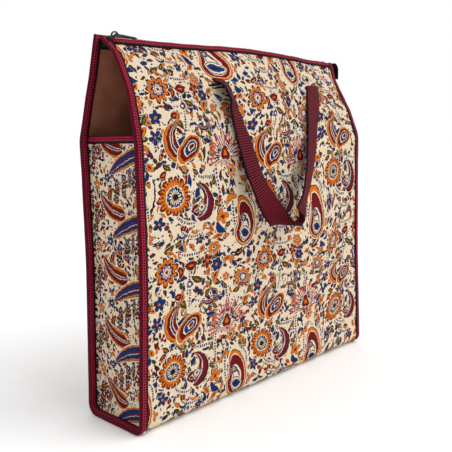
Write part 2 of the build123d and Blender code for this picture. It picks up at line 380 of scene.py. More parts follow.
palette = {
    "cream": shade(246, 226, 197),
    "orange": shade(226, 118, 8),
    "wine": shade(120, 10, 16),
    "pink": shade(196, 104, 104),
    "blue": shade(22, 50, 108),
    "ink": shade(20, 20, 28),
    "olive": shade(70, 66, 22),
    "none": (0.0, 0.0, 0.0, 0.0),
}


# Ribbed tape folded over the cloth edges. Its map runs along the tape, and across it to the
# nearer of its two edges. Each edge is a dark selvedge, widened with painted shade where the tape meets the cloth.
tape = {
    "ground": shade(90, 11, 29),
    "groove": shade(42, 4, 15),
    # pink of random thread flecks, and of the painted highlights on the rib crests
    "dot": shade(164, 36, 62),
    # dark selvedge, together with painted shade where the tape meets the cloth
    "selvedge": shade(20, 17, 22),
    "selvedgeWidth": 0.0021,
    "pitch": 0.0027,
    "dotRows": [0.0036, 0.0060],
    "dotSize": 0.0009,
    "roughness": 0.62,
    "gloss": 0.06,
}


def tapeLook(wire, surface):
    uv = wire.flatMap()
    along, across, _ = uv.split()
    rib = along.ribs(tape["pitch"])
    colour = rib.fade(0.0, tape["groove"], 0.55, tape["ground"], "EASE")
    highlightDots = 0.0
    # painted highlights: two rows of pink dots where the crests of the rounded tape's ribs catch the light
    for row in tape["dotRows"]:
        offCentre = abs(across - row) * (1 / tape["dotSize"])
        beat = abs(((along * (1 / tape["pitch"]) + row * 80).fraction() - 0.5) * 2.6)
        inside = offCentre ** 2.0 + beat ** 2.0 < 1.0
        colour = colour.under(tape["dot"], inside)
        highlightDots = inside + highlightDots
    threads, speckle = uv.noise(2600.0), uv.noise(130.0)
    colour = colour.under(tape["dot"], (threads > 0.64) * 0.30)
    # dark selvedge stripe on both edges, widened with painted shade beside the cloth
    colour = colour.under(tape["selvedge"], across < tape["selvedgeWidth"])
    colour = colour.under(speckle.fade(0.3, grey(0.72), 0.7, grey(1.0)), 0.5, "MULTIPLY")
    finish(surface, colour, tape["roughness"], rib * 0.7 + highlightDots * 0.4 + threads * 0.25, 0.0003, gloss=tape["gloss"])


# Ribbed webbing of the handles: the map runs along the strap and across it from edge to edge.
# Its long edges carry a painted shade, which stands in for the dark shaded sides of the thick webbing.
webbing = {
    "rib": shade(126, 21, 38),
    "gap": shade(10, 4, 7),
    # painted shade along both long edges
    "edge": shade(20, 14, 20),
    "halfWidth": 0.0125,
    "edgeWidth": 0.0013,
    "pitch": 0.0029,
    "twill": 0.0009,
    "roughness": 0.55,
    "gloss": 0.06,
}


def webbingLook(wire, surface):
    uv = wire.flatMap()
    along, across, _ = uv.split()
    wave = uv.noise(160.0, 1.0) - 0.5
    rib = (along + wave * 0.0008).ribs(webbing["pitch"])
    colour = rib.fade(0.42, webbing["gap"], 0.66, webbing["rib"], "EASE")
    twill = (along + across).ribs(webbing["twill"])
    colour = colour.under(webbing["gap"], twill * 0.22)
    # painted shade: a dark band along both long edges, for the shaded sides of the webbing
    edge = abs(across - webbing["halfWidth"]) > webbing["halfWidth"] - webbing["edgeWidth"]
    colour = colour.under(webbing["edge"], edge)
    finish(surface, colour, webbing["roughness"], rib + twill * 0.25, 0.0005, gloss=webbing["gloss"])


lining = {"ground": shade(184, 114, 80), "thread": shade(144, 84, 58), "pitch": 0.0008, "roughness": 0.8}


def liningLook(wire, surface):
    uv = wire.flatMap()
    along, across, _ = uv.split()
    weave = along.waves(lining["pitch"]) * across.waves(lining["pitch"])
    cloud = uv.noise(22.0, 3.0)
    colour = (cloud + weave * 0.08).fade(0.35, lining["thread"], 0.65, lining["ground"])
    finish(surface, colour, lining["roughness"], weave + cloud * 3.0)


# The zip stays as the CAD has it, patterned on object coordinates.
zipTape = {"dark": shade(8, 8, 9), "light": shade(27, 25, 28), "pitch": 0.0012, "roughness": 0.75, "gloss": 0.1}
zipCoil = {"dark": shade(18, 17, 19), "light": shade(40, 38, 42), "roughness": 0.38}
zipMetal = {"dark": shade(34, 33, 35), "worn": shade(74, 72, 74), "dull": 0.42, "bright": 0.26}


def zipTapeLook(wire, surface):
    place = wire.objectPlace()
    x, y, z = place.split()
    herring = (x + abs((y + z) * 0.8)).ribs(zipTape["pitch"])
    grain = place.noise(900.0)
    colour = (herring * 0.6 + grain * 0.4).fade(0.2, zipTape["dark"], 0.8, zipTape["light"])
    finish(surface, colour, zipTape["roughness"], herring + grain, gloss=zipTape["gloss"])


def coilLook(wire, surface):
    grain = wire.objectPlace().noise(500.0)
    colour = grain.fade(0.3, zipCoil["dark"], 0.7, zipCoil["light"])
    finish(surface, colour, zipCoil["roughness"], grain, 0.0001, 0.4)


def metalLook(wire, surface):
    wear = wire.objectPlace().noise(420.0, 4.0)
    colour = wear.fade(0.35, zipMetal["dark"], 0.62, zipMetal["worn"])
    rough = wear.fade(0.3, grey(zipMetal["dull"]), 0.7, grey(zipMetal["bright"]))
    finish(surface, colour, rough, wear, 0.0001, 0.3)
    surface.inputs["Metallic"].default_value = 1.0


# Bands of colour are written as "ink 0.2 blue", which is ink from the start on and blue from 0.2 on.
def bands(text, start=0.0):
    words = [start, *text.split()]
    return [(float(place), palette[tone]) for place, tone in zip(words[::2], words[1::2])]


# Bands across a stroke, from one side of it at 0 to the other at 1, with or without an inked edge.
def plain(tone):
    return f"none 0 {tone} 1 none"


def edged(inner, end=1.07):
    return f"none -0.07 cream 0 ink {inner} 1 cream {end} none"


# The block print of the cloth. Everything is measured in millimetres on one printed block,
# p to the right and q upwards, and each motif is laid over those before it.
blockPrint = {
    "size": (142.0, 180.0),    # one impression of the block
    "start": (190.0, -10.0),
    # spacing, length and width of the strewn leaves, the share that is kept and their tones
    "strewn": [(11.0, 10.0, 4.8, 0.5, "blue 0.35 orange 0.65 wine 0.85 olive"),
               (7.5, 7.6, 3.6, 0.42, "blue 0.45 olive 0.7 wine 0.85 orange"),
               (4.4, 3.2, 1.8, 0.34, "ink 0.5 blue 0.8 wine")],
    "wobble": 1.1,             # how far the printed lines wander
    "shake": 1.5,              # and how far their edges do
    "roughness": 0.82,
    "gloss": 0.1,
    "weave": 0.55,
}
borderPrint = {
    "size": (90.0, 65.2),
    "start": (0.0, 0.0),
    "strewn": [(6.4, 6.4, 3.2, 0.8, "blue 0.42 ink 0.58 wine 0.82 orange"),
               (3.6, 2.8, 1.6, 0.5, "blue 0.45 wine 0.8 orange")],
}


class BlockLayer:
    def __init__(self, wire, ground, place, size):
        self.wire, self.colour, self.place, self.size = wire, ground, place, size
        self.kinds = {}

    # One motif: a node group for its kind, with its place and size as values.
    def add(self, key, build, numbers, vectors):
        if key not in self.kinds:
            self.kinds[key] = self.makeGroup(build, numbers, vectors)
        made = self.wire.node("Group", {"node_tree": self.kinds[key]}, self.colour, self.place)
        for name, value in {**numbers, **vectors}.items():
            made.inputs[name].default_value = value
        self.colour = self.wire.out(made)

    def makeGroup(self, build, numbers, vectors):
        group = bpy.data.node_groups.new("motif", "ShaderNodeTree")

        def socket(name, kind, way="INPUT"):
            group.interface.new_socket(name, in_out=way, socket_type="NodeSocket" + kind)

        socket("colour", "Color", "OUTPUT")
        socket("ground", "Color")
        socket("place", "Vector")
        for name in numbers:
            socket(name, "Float")
        for name in vectors:
            socket(name, "Vector")
        source = group.nodes.new("NodeGroupInput")
        result = group.nodes.new("NodeGroupOutput")
        entry = {socket.name: Wire(group, socket) for socket in source.outputs if socket.name}
        w, h = self.size
        moved = entry["place"].vector("SUBTRACT", entry["place"], entry["at"])
        wrapped = moved.vector("WRAP", moved, (w / 2, h / 2, 1.0), (-w / 2, -h / 2, -1.0))
        local = wrapped.vector("SUBTRACT", wrapped, entry["shift"])
        x = local.vector("DOT_PRODUCT", local, entry["alongAxis"])
        y = local.vector("DOT_PRODUCT", local, entry["acrossAxis"])
        colour = build(Motif(entry["ground"], x, y), entry)
        group.links.new(colour.socket, result.inputs[0])
        return group

    @staticmethod
    def spot(at, turn, sizeX=1.0, sizeY=1.0, shift=(0.0, 0.0)):
        c, s = math.cos(math.radians(turn)), math.sin(math.radians(turn))
        return {"at": (*at, 0.0), "shift": (*shift, 0.0),
                "alongAxis": (c / sizeX, s / sizeX, 0.0), "acrossAxis": (-s / sizeY, c / sizeY, 0.0)}

    def leaf(self, at, length, width, turn, rings, bend=0.0):
        def build(motif, entry):
            xx = motif.x * motif.x
            bent = motif.y - xx * entry["bend"]
            return motif.lay(abs(bent) + xx, rings + " 1 cream 1.13 none")
        self.add(("leaf", rings), build, {"bend": bend}, self.spot(at, turn, length * 0.66, width * 0.92))

    def flower(self, at, radius, petals, depth, rings, turn=0.0, squash=1.0, spokes=None):
        def build(motif, entry):
            r, angle = motif.polar()
            beat = abs(angle.maths("COSINE", angle * entry["petals"]))
            edge = 0.96 - (1.0 - beat) * entry["depth"] + (angle * 2.0 + 0.8).sine() * 0.05
            colour = motif.lay(r / edge, rings + " 1 cream 1.1 none")
            if not spokes:
                return colour
            count, near, far, tone = spokes
            lines = (angle * float(count)).sine() > 0.25
            return motif.lay(r, f"none {near} {tone} {far} none", mask=lines)
        self.add(("flower", rings, spokes), build, {"petals": petals / 2, "depth": 2 * depth},
                 self.spot(at, turn, radius * 1.4, radius * squash * 1.4))

    # A shape with its reach in each direction, in degrees.
    def shape(self, at, turn, profile, rings, spokes=None):
        largest = max(reach for _, reach in profile)

        def build(motif, entry):
            r, angle = motif.polar()
            share = angle * (0.5 / math.pi) + 0.5
            points = [((degrees + 180) / 360, reach / largest) for degrees, reach in sorted(profile)]
            gap = points[0][0] + 1 - points[-1][0]
            seam = points[0][1] + (points[-1][1] - points[0][1]) * points[0][0] / gap
            t = r / share.curve([(0.0, seam)] + points + [(1.0, seam)])
            if spokes:
                count, rays = spokes
                motif.lay(t, rays, mask=(angle * float(count)).sine() > -0.1)
            return motif.lay(t, rings)
        self.add(("shape", str(profile)), build, {}, self.spot(at, turn, largest * 1.25, largest * 1.25))

    # A brush stroke along the circle through three points, with half widths along it.
    def stroke(self, through, widths, rings, dash=0.0):
        (ax, ay), (bx, by), (cx, cy) = through
        d = 2 * (ax * (by - cy) + bx * (cy - ay) + cx * (ay - by))
        aa, bb, cc = ax * ax + ay * ay, bx * bx + by * by, cx * cx + cy * cy
        ux = (aa * (by - cy) + bb * (cy - ay) + cc * (ay - by)) / d
        uy = (aa * (cx - bx) + bb * (ax - cx) + cc * (bx - ax)) / d
        radius = math.hypot(ax - ux, ay - uy)
        start, middle, end = (math.atan2(y - uy, x - ux) for x, y in through)
        first = (middle - start + math.pi) % (2 * math.pi) - math.pi
        last = (end - middle + math.pi) % (2 * math.pi) - math.pi
        span = abs(first + last)
        largest = max(width for _, width in widths)
        profile = [(s, round(width / largest, 3)) for s, width in widths]

        def build(motif, entry):
            r, angle = motif.polar()
            share = angle * entry["swing"] + 0.5
            points = [(min(max(s, 0.012), 0.988), w) for s, w in profile]
            reach = share.curve([(0.0, 0.004)] + points + [(1.0, 0.004)])
            n = (r - entry["radius"]) / (reach * entry["width"])
            mask = (share * entry["dashes"]).fraction() < 0.62 if dash else None
            return motif.lay(n + 0.5, rings, -0.1, 1.1, mask)
        numbers = {"swing": math.copysign(1.0, first + last) / span, "radius": radius,
                   "width": 2 * largest * 1.2, "dashes": float(max(round(radius * span / dash), 1)) if dash else 1.0}
        self.add(("stroke", str(profile), rings, bool(dash)), build, numbers,
                 self.spot((bx, by), math.degrees(start + (first + last) / 2), 1.0, 1.0, (ux - bx, uy - by)))


class Motif:
    def __init__(self, ground, x, y):
        self.colour, self.x, self.y = ground, x, y

    def polar(self):
        x, y = self.x, self.y
        return y.maths("SQRT", x * x + y * y), y.maths("ARCTAN2", y, x)

    # Lays bands of colour where the mask is 1. The measure runs from 0 to 1 as the bands run from low to high.
    def lay(self, measure, rings, low=0.0, high=1.25, mask=None):
        colour, alpha = measure.ramp([((place - low) / (high - low), tone) for place, tone in bands(rings, low)])
        self.colour = self.colour.under(colour, alpha if mask is None else alpha * mask)
        return self.colour


def frontMotifs(block):
    orangeLine = edged("0.12 orange 0.85 ink")
    wineBand = edged("0.09 wine 0.36 cream 0.44 blue 0.56 wine 0.88 ink")
    blue, dark = "ink 0.16 blue 0.78 ink", "orange 0.2 olive 0.8 ink"
    orange, wine = "wine 0.3 orange 0.86 ink", "orange 0.2 wine 0.85 ink"
    petals = "blue 0.22 cream 0.36 wine 0.5 orange 0.9 wine"
    bluePetals = "orange 0.24 ink 0.34 blue 0.9 ink"

    def line(points, width, tone, dash=0.0):
        block.stroke(points, [(0.08, width * 1.6), (0.92, width * 1.6)], plain(tone), dash)

    # curled leaves between everything else
    for i in range(44):
        block.leaf((i * 47.3 % 142, i * 68.9 % 180), 10 + i % 3 * 3, 4.6 + i % 2, i * 73 % 360,
                   (blue, wine, dark, orange, blue)[i % 5], 0.9 if i % 2 else -0.7)

    # stems and dashed vines
    for points, width, dash in (
            ([(45, 174), (67, 172), (88, 179)], 0.9, 3.6), ([(55, 167), (62, 160), (71, 156)], 0.8, 3.2),
            ([(63, 72.5), (80, 70.5), (98, 72)], 0.9, 3.6), ([(44, 60), (51, 55), (60, 60)], 0.8, 3.2),
            ([(115, 62), (112, 40), (115, 15)], 0.9, 3.8), ([(99, 90), (96, 66), (99, 40)], 0.9, 3.8),
            ([(45, 18), (59, 12), (73, 15)], 0.9, 3.2), ([(33, 40), (44, 29), (60, 27)], 0.9, 3.4),
            ([(140, 53), (147, 44), (148, 33)], 0.8, 3.2), ([(108, 132), (112, 121), (113, 110)], 0.9, 3.6),
            ([(56.7, 155), (57.6, 138), (55, 116)], 0.9, 3.4), ([(18, 142), (17, 128), (22, 118)], 0.8, 3.2)):
        line(points, width * 1.7, "cream")
        line(points, width * 0.8, "blue", dash - 0.5)
    for points, width in (
            ([(113, 170), (126, 175), (133, 190)], 0.7), ([(116, 167), (130, 173), (137, 190)], 0.6),
            ([(8, 70), (12, 55), (10, 40)], 0.5), ([(102, 70), (107, 66), (109, 60)], 0.5),
            ([(30, 118), (34, 124), (40, 128)], 0.5), ([(62, 150), (66, 158), (64, 166)], 0.5),
            ([(92, 160), (98, 166), (99, 173)], 0.5), ([(122, 150), (128, 154), (135, 152)], 0.5),
            ([(74, 96), (78, 90), (78, 84)], 0.5)):
        line(points, width, "ink")

    # the small leaves and blossoms between the large motifs
    for p, q, length, width, turn, kind, bend in (
            (14, 157, 13, 4.6, 60, dark, 0.5), (31.7, 180, 14, 4.4, 25, dark, 0.4),
            (35, 175, 12, 4, -30, orange, 0.3), (86.7, 168, 9, 3.6, 20, orange, 0.2),
            (75, 176.7, 8, 4.6, 60, orange, 0.2), (84, 151, 9, 4.4, 88, orange, 0.2),
            (60, 160, 15, 7, 8, wine, 0.3), (68, 144, 16, 5, -20, dark, 0.4), (7, 128, 9, 3.6, 30, orange, 0.2),
            (8, 122, 9, 3.4, -20, orange, 0.2), (41.7, 130, 9, 5.4, 20, wine, 0.2),
            (81.7, 128, 8, 3.6, 40, dark, 0.3), (91.7, 126, 8, 3.4, -30, blue, 0.3),
            (71.7, 115.8, 7, 3, 30, dark, 0.2), (93, 111, 9, 3.6, -40, dark, 0.3),
            (86.7, 108, 3.4, 3.2, 0, wine, 0.0), (24, 112.5, 6, 4, 70, orange, 0.0),
            (87, 103.5, 14, 3.2, -8, blue, 0.3), (34, 81.7, 9, 4, 50, blue, 0.2),
            (24, 78.3, 10, 4, -30, dark, 0.3), (20, 71.7, 9, 4, 30, wine, 0.2),
            (53.3, 66.7, 12, 4, 75, blue, 0.6), (49, 43, 9, 3.6, 40, blue, 0.2),
            (62.5, 75, 8, 3.6, -30, dark, 0.2), (71, 76, 6, 3, 20, blue, 0.1),
            (90, 66.7, 9, 3.8, 50, dark, 0.2), (95, 49, 7, 3, 80, wine, 0.2),
            (82.5, 19, 10, 4, -45, orange, 0.3), (109, 130, 8, 3.4, -50, dark, 0.3),
            (126, 125, 10, 4.2, 40, dark, 0.3), (3, 125, 11, 4, 70, dark, 0.6),
            (110, 162.5, 10, 4.4, 35, orange, 0.4), (120, 157, 9, 3.6, -35, blue, 0.2),
            (137, 78, 9, 4, 50, orange, 0.1), (5, 80, 9, 4, -50, orange, 0.1), (142, 61, 8, 4, 80, orange, 0.1),
            (137, 67, 8, 3.6, -20, orange, 0.1), (3, 72, 8, 3, 80, blue, 0.2), (115, 55, 8, 3.8, 60, dark, 0.2),
            (109, 55, 7, 3.4, -60, blue, 0.2), (82, 52, 11, 3.6, 70, orange, 0.3),
            (57.5, 48, 9, 3.4, 100, dark, -0.3), (77, 32, 12, 4, 20, dark, 0.3), (134, 141, 4, 4, 0, blue, 0.0),
            (76, 140, 7, 3.2, 60, blue, 0.2), (104, 24, 8, 3.4, 50, dark, 0.2), (22, 8, 9, 3.6, 10, blue, 0.3),
            (44, 5, 9, 4, 50, dark, 0.3), (38, 70, 5, 3, 10, blue, 0.0), (102, 118, 7, 3.2, 20, blue, 0.2)):
        block.leaf((p, q), length, width, turn, kind, bend)
    for p, q, radius, count, depth, rings, turn in (
            (27.5, 158.3, 15, 9, 0.17,
             "wine 0.14 cream 0.26 wine 0.32 cream 0.4 blue 0.56 ink 0.6 orange 0.84 wine 0.93 ink", 20),
            (91, 176, 7.5, 5, 0.14, petals, 0), (96, 156, 7.5, 6, 0.12, bluePetals, 10),
            (83, 162, 7.5, 5, 0.3, "orange 0.35 wine 0.9 ink", 40),
            (57.5, 141, 3.8, 3, 0.05, "cream 0.45 blue 0.9 ink", 0),
            (16.7, 127.5, 7.5, 5, 0.2, bluePetals, 15), (13, 107.5, 7.5, 5, 0.3, bluePetals, 50),
            (22.5, 91.7, 4.8, 4, 0.25, "cream 0.3 wine 0.9 ink", 20),
            (96.7, 31.7, 8.2, 4, 0.28, "wine 0.3 orange 0.9 wine", 20),
            (19, 27.5, 6.8, 5, 0.26, bluePetals, 0), (28, 23, 2.8, 3, 0.05, wine, 0),
            (134, 141, 12, 8, 0.2, "cream 0.26 blue 0.46 cream 0.52 ink 0.56 orange 0.85 wine", 0),
            (110, 141, 5, 5, 0.15, petals, 20),
            (121.7, 73.3, 7, 7, 0.2, "blue 0.35 cream 0.45 orange 0.92 wine", 0),
            (70, 7, 5.5, 5, 0.24, bluePetals, 20), (6, 14, 6, 5, 0.22, petals, 10)):
        block.flower((p, q), radius, count, depth, rings, turn)
    for points, width, kind in (
            ([(73, 122), (84, 116.5), (98, 127)], 2.6, wineBand),
            ([(124, 50), (113, 52), (103, 41)], 2.4, orangeLine),
            ([(44.2, 88), (45.5, 81.5), (53, 79)], 1.3, orangeLine),
            ([(57.5, 20), (62.5, 15.5), (67.5, 20)], 1.5, orangeLine),
            ([(42, 17), (47.5, 11), (53, 17)], 1.4, edged("0.2 blue 0.9 ink")),
            ([(128, 127), (134, 133), (140, 127)], 1.8, wineBand)):
        block.stroke(points, [(0.12, width * 0.5), (0.45, width), (0.8, width * 0.6)], kind)

    # rosette
    block.flower((33.3, 53.3), 17.8, 13, 0.11,
                 "ink 0.2 cream 0.4 blue 0.52 cream 0.56 ink 0.6 orange 0.9 wine 0.96 ink", 0, 0.97,
                 (26, 0.66, 0.9, "wine"))
    block.flower((33.3, 53.3), 9.0, 16, 0.02, "ink 0.28 none", 0, 1.0, (15, 0.34, 0.78, "ink"))
    # carnation fan
    fan = [(-10, 12), (15, 34), (28, 24), (42, 30), (54, 23), (68, 29), (80, 23), (92, 30), (106, 23), (120, 28),
           (136, 22), (152, 29), (168, 24), (188, 31), (200, 22), (215, 11), (270, 9)]
    block.shape((115, 86.7), 0, [((a + 180) % 360 - 180, r) for a, r in fan], "cream 0.34 none",
                (34, "none 0.3 blue 0.5 wine 0.6 pink 0.94 wine 1 none"))
    block.flower((115, 90), 7.4, 3, 0.16, "orange 0.4 wine 0.9 ink", 90)
    # crescent with its flower
    block.leaf((61, 40), 13, 8.5, 20, "blue 0.25 cream 0.35 wine 0.88 ink", 0.3)
    block.stroke([(64.5, 66), (78, 47), (62, 31.5)], [(0.06, 1.8), (0.3, 5.0), (0.6, 8.2), (0.86, 5.6), (0.97, 1.8)],
                 wineBand)
    block.leaf((63, 57), 10, 4.4, 60, blue, 0.2)
    block.flower((68, 43), 5.6, 6, 0.2, "wine 0.35 cream 0.72 blue 0.92 ink", 10)
    # double paisley
    block.stroke([(45, 120.5), (30.6, 103), (43.5, 88.8)],
                 [(0.06, 2.0), (0.26, 5.2), (0.51, 8.2), (0.8, 8.4), (0.97, 4.4)],
                 edged("0.05 wine 0.26 cream 0.32 blue 0.46 cream 0.52 wine 0.7 ink 0.75 orange 0.95 ink", 1.06))
    block.shape((60.4, 98.4), 25, [(0, 14), (30, 12.8), (60, 11), (90, 10.4), (120, 11.4), (150, 15), (174, 22),
                                   (-166, 24), (-146, 17), (-120, 12.4), (-90, 10.6), (-60, 11), (-30, 12.6)],
                "wine 0.2 cream 0.28 blue 0.5 cream 0.58 ink 0.62 wine 0.8 ink 0.83 orange 0.97 ink"
                      " 1 cream 1.08 none")
    # tall paisley
    block.shape((130, 16), 0, [(0, 17), (-45, 17), (-90, 17.5), (-135, 17.5), (178, 16.5), (150, 15.5), (131, 18.5),
                               (118, 25), (107, 34), (96, 38), (86, 36), (74, 32), (58, 26), (32, 20)],
                "cream 0.3 ink 0.33 blue 0.4 cream 0.52 ink 0.55 wine 0.8 ink 0.83 cream 0.86 orange"
                      " 0.965 ink 1 cream 1.08 none")
    block.flower((127, 30), 4.6, 5, 0.2, "orange 0.3 cream 0.45 blue 0.88 ink", 18)
    block.leaf((130, 13), 16, 11, -14, "ink 0.15 blue 0.62 cream 0.85 ink", 0.1)


# p runs to the back of the bag here.
def borderMotifs(block):
    def ribbon(inner):
        return edged(f"0.04 orange 0.15 ink {inner} 0.84 ink 0.88 orange 0.97 ink")

    blue, wine = "cream 0.14 blue 0.78 ink", "orange 0.25 wine 0.82 ink"
    dark = "wine 0.2 olive 0.6 ink"
    for i in range(38):
        block.leaf((i * 33.7 % 90 - 45, i * 41.3 % 65.2), 7.5 + i % 3, 4.2, i * 73 % 360,
                   (blue, wine, dark)[i % 3], 0.7 if i % 2 else -0.6)
    for p, q, radius, tone, turn in (
            (26, 20, 5.2, "wine", 10), (30, 50, 5.4, "orange", 20), (12, 58, 4.6, "blue", 40),
            (-34, 34, 5.0, "orange", 30), (36, 4, 4.8, "wine", 0), (-30, 52, 4.6, "wine", 15)):
        block.flower((p, q), radius, 5, 0.22, f"cream 0.25 ink 0.35 {tone} 0.88 ink", turn)
    block.stroke([(24, 42), (10, 26), (-12, 21)], [(0.06, 2.0), (0.45, 7.0), (0.8, 8.4), (0.97, 4.0)],
                 ribbon("0.18 wine 0.42 cream 0.46 blue 0.56 cream 0.6 wine"))
    block.stroke([(-42, 16), (-16, 10), (8, -4)], [(0.04, 7.2), (0.45, 7.6), (0.8, 5.0), (0.97, 1.8)],
                 ribbon("0.18 blue 0.4 cream 0.44 blue 0.52 wine 0.58 blue"))


# Fine leaves and dots are strewn over the ground first, each turned its own way.
def printLook(wire, surface, motifs, printed):
    def noise2d(scale, detail=2.0, which=0):
        return flat.noise(scale, detail, which, "2D")

    flat = wire.flatMap().scaled(1000.0)
    wobble, (startX, startY) = blockPrint["wobble"], printed["start"]
    place = flat.vector("MULTIPLY_ADD", noise2d(0.16, which=1), (2 * wobble,) * 3,
                        flat.vector("ADD", flat, (startX - wobble, startY - wobble, 0)))
    place = place.vector("MULTIPLY_ADD", noise2d(0.55, which=1), (blockPrint["shake"],) * 3, place)
    colour = wire.out(wire.node("RGB"))
    colour.socket.default_value = palette["cream"]
    for spacing, length, width, share, kinds in printed["strewn"]:
        spread = place.scaled(1 / spacing)
        cells = wire.node("TexVoronoi", {"voronoi_dimensions": "2D"}, Vector=spread, Scale=1.0, Randomness=0.85)
        offset = spread.vector("SUBTRACT", spread, wire.out(cells, 2))
        red, green, blue = wire.out(cells, 1).split()
        turned = wire.out(wire.node("VectorRotate", {"rotation_type": "Z_AXIS"}, offset, Angle=red * 6.283))
        x, y, _ = turned.split()
        x = x * (spacing / (length / 2 * 1.118))
        y = y * (spacing / (width / 2))
        body = abs(y.maths("MULTIPLY_ADD", x * x, -0.35, y)) + x * x
        tone, _ = green.ramp(bands(kinds))
        colour = colour.under(palette["ink"], (body < 1.0) * (blue < share))
        colour = colour.under(tone, (body < 0.72) * (blue < share))
    # the motifs wait for the strewn ground, so that the shader stays small while it is worked out
    waiting = place.vector("MULTIPLY_ADD", colour, (0.0, 0.0, 0.0), place)
    block = BlockLayer(wire, colour, waiting, printed["size"])
    motifs(block)
    along, up, _ = flat.split()
    weave = along.waves(blockPrint["weave"]) * up.waves(blockPrint["weave"])
    cloud, fibre = noise2d(0.03, 3.0), noise2d(1.6)
    tint = (weave * 0.05 + fibre * 0.4 + cloud * 0.6).fade(0.25, (0.92, 0.91, 0.89, 1), 0.7, grey(1.0))
    colour = block.colour.under(tint, 1.0, "MULTIPLY")
    # ink that took unevenly
    uneven = noise2d(0.8, 3.0).fade(0.36, (0.74, 0.70, 0.68, 1), 0.52, grey(1.0))
    colour = colour.under(uneven, 0.75, "MULTIPLY")
    finish(surface, colour, blockPrint["roughness"], weave * 0.5 + fibre * 1.2 + cloud * 4.0, 0.0003,
           gloss=blockPrint["gloss"])
    print("print with", len(wire.tree.nodes), "nodes")


bindingCloth = newMaterial("bindingTape", tapeLook)
strapCloth = newMaterial("handleWebbing", webbingLook)
liningCloth = newMaterial("brownLining", liningLook)
printCloth = newMaterial("paisleyPrint", lambda *where: printLook(*where, frontMotifs, blockPrint))
borderCloth = newMaterial("borderPrint", lambda *where: printLook(*where, borderMotifs, borderPrint))
for name, look, nodes in (("zipTape", zipTapeLook, ("zip_front_tape", "zip_back_tape")),
                          ("zipCoil", coilLook, ("zip_front_coil", "zip_back_coil")),
                          ("zipMetal", metalLook, ("zip_top_stop", "zip_bottom_stop", "zip_slider", "zip_pull"))):
    material = newMaterial(name, look)
    for node in nodes:
        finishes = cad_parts[node].data.materials
        finishes.clear()
        finishes.append(material)
print("materials made")


# Body cloth and its lining
cloth = {
    "thickness": 0.0014,
    "edge": 0.0012,            # from the seam edge
    "liningInset": 0.0015,
    "liningThickness": 0.0004,
    "liningEdge": 0.0017,
    "columns": 120,
    "flatWidth": 0.393,
}


# The pull of the cutting and sewing on the print, in millimetres: place on the cloth and shift.
pulls = [(-142, 63, 0, 0), (-60, 50, -1, 0), (18, 60, -2, -7), (76, 60, 4, -9), (150, 70, 9, 12),
         (-162, 168, 0, 0), (-110, 160, 4, 0), (-10, 160, 10, -8), (100, 190, 13, -19), (160, 190, 8, 5),
         (-131, 292, 11, 5), (-105, 236, 14, -4), (-42, 210, 19, -9), (2, 282, 2, -6), (30, 228, 10, -10),
         (-73, 287, 2, 5), (60, 280, -9, -2), (148, 301, 6, 13), (134, 250, 5, 12), (-150, 354, 12, 6),
         (4, 348, 24, 0)]
pullReach = 34.0
noPull = 0.05                  # weight of the cloth where nothing pulls
frontStart = -0.01             # the front print ends just under the base fold


def printMap(x, v):
    weights = [(math.exp(-((x * 1000 - px) ** 2 + (v * 1000 - pv) ** 2) / pullReach ** 2), dx, dv)
               for px, pv, dx, dv in pulls]
    total = sum(w for w, _, _ in weights) + noPull
    return (x - sum(w * dx for w, dx, _ in weights) / total / 1000,
            v - sum(w * dv for w, _, dv in weights) / total / 1000)


def bodyLayer(name, inset, edge, material, printed):
    columns = cloth["columns"]

    def place(column, row):
        y, z, ny, nz, run = outline[row]
        y, z, v = y - ny * inset, z - nz * inset, baseStart - run
        x = (column / columns * 2 - 1) * (halfWidth(z) - edge)
        return settle((x, y, z)), printMap(x, v) if printed and v > frontStart else (x, v)

    return newMesh(name, laidGrid(columns, len(outline) - 1, place, fromMiddle), material)


bodyCloth = bodyLayer("bodyCloth", 0.0, cloth["edge"], printCloth, True)
dress(bodyCloth, cloth["thickness"], -1, "body_panel")
bodyLining = bodyLayer("bodyLining", cloth["liningInset"], cloth["liningEdge"], liningCloth, False)
dress(bodyLining, cloth["liningThickness"], -1, "body_lining")
print("body cloth made")


# End panels
endWall = {
    "wall": 0.0092,            # how far in from the seam edge the wall stands
    "cove": 0.0045,
    "inset": 0.0025,
    "height": 0.2972,
    "thickness": 0.0011,
    "ridge": 0.0030,           # the cloth swells beside the front seam
    "dent": 0.0035,            # and is pressed in low down beside the back one
    "belly": 0.0010,
    "softness": 0.0012,
    "liningGap": 0.0024,
    "liningInset": 0.0022,
    "liningThickness": 0.0003,
    # stops of the mesh in from each edge, and the numbers of steps between them across and up
    "stops": [0.0, 0.0004, 0.0010, 0.0018, 0.0028, 0.0040, 0.0056, 0.0080],
    "across": 26,
    "up": 70,
    "seam": (0.006, 0.004),    # what the seams take of the flat piece
}


def endPanelPlace(side, inset, wall, across, up, swollen):
    fromFront, fromBack = across, (2 * half - 2 * inset) - across
    nearest = min(fromFront, fromBack, up)
    cove = endWall["cove"]
    out = 0.0
    if nearest < cove:
        out = cove - math.sqrt(max(cove * cove - (cove - nearest) ** 2, 0))
    z = bag["stand"] + inset + up
    y = -half + inset + across
    ridge = endWall["ridge"] * swollen * math.exp(-((fromFront - 0.013) / 0.007) ** 2) * smooth(up, 0.0, 0.05)
    dent = endWall["dent"] * math.exp(-((fromBack - 0.020) / 0.016) ** 2 - ((up - 0.022) / 0.016) ** 2)
    belly = endWall["belly"] * archAt(across / (2 * half)) * swollen
    soft = endWall["softness"] * noise.noise((y * 28, z * 12, 5.0 * side)) * swollen
    e = wall - out + smooth(nearest, 0.001, 0.012) * (dent - ridge - belly + soft)
    return Vector((side * (halfWidth(z) - e), y, z))


